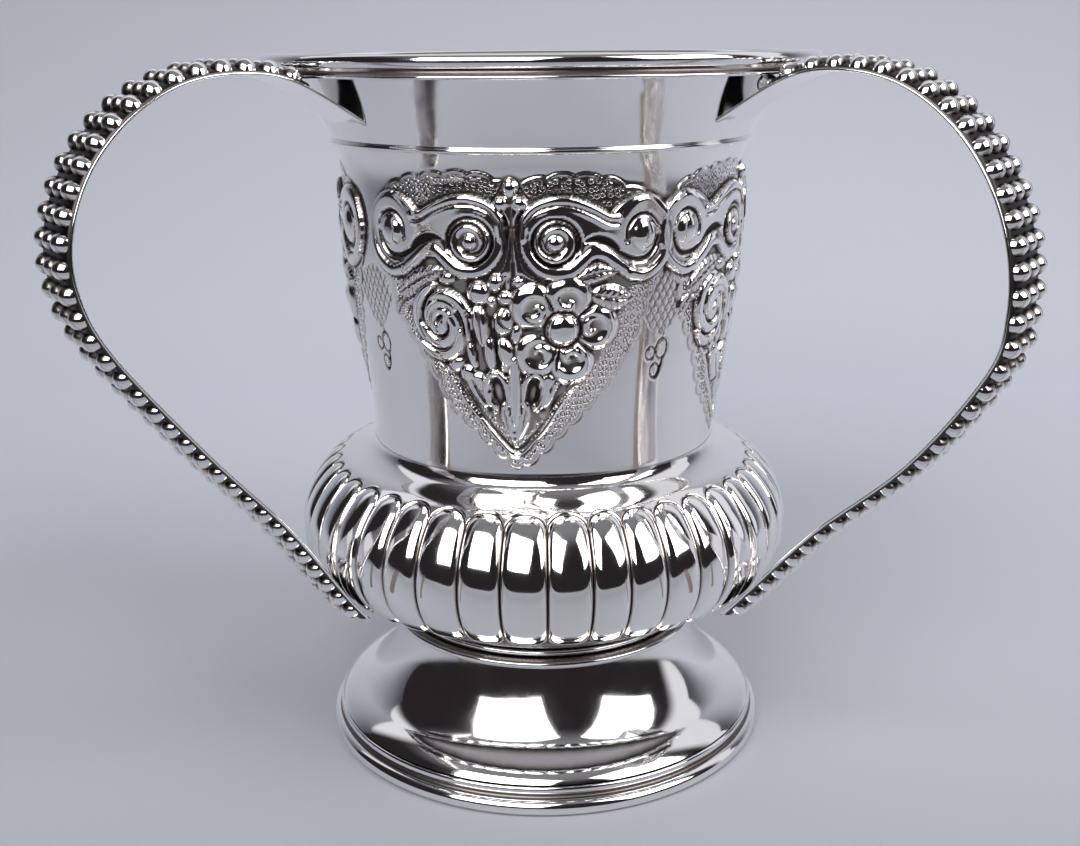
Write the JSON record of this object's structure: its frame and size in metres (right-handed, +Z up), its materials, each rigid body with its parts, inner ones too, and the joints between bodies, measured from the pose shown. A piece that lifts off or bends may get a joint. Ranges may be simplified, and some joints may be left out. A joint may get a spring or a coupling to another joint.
{
  "type": "hand washing cup",
  "caption": "Footed silver cup with a lobed bulb, a chased floral beaker, a flared moulded rim and two beaded strap handles, for pouring water over the hands.",
  "frame": {"origin": "on the table, under the middle of the whole outline with the handles; the cup's own axis stands 3.8 mm behind it, at +Y", "axes": "+Z up; X runs from the left handle (-X) to the right handle (+X) as seen from the front; the front, which both handles are swung towards, is -Y"},
  "size_m": [0.153, 0.1078, 0.1301],
  "materials": {
    "base_moulding": "polished silver moulding, worn bright on the roll",
    "spreading_foot": "polished silver, raised from sheet",
    "lower_collar": "polished silver wire ring",
    "upper_collar": "polished silver wire ring",
    "gadrooned_bulb": "polished silver with darkened chased lines between the lobes",
    "beaker_body": "polished silver, chased frieze with blackened recesses",
    "neck_wire": "polished silver wire",
    "rim_moulding": "polished silver moulding",
    "left_handle_strap": "polished silver strap",
    "right_handle_strap": "polished silver strap",
    "left_handle_beading": "cast silver beading with blackened ground",
    "right_handle_beading": "cast silver beading with blackened ground"
  },
  "bodies": {
    "root": {"base_moulding": "base_moulding", "spreading_foot": "spreading_foot", "lower_collar": "lower_collar", "upper_collar": "upper_collar", "gadrooned_bulb": "gadrooned_bulb", "beaker_body": "beaker_body", "neck_wire": "neck_wire", "rim_moulding": "rim_moulding", "left_handle_strap": "left_handle_strap", "right_handle_strap": "right_handle_strap", "left_handle_beading": "left_handle_beading", "right_handle_beading": "right_handle_beading"}
  },
  "joints": []
}
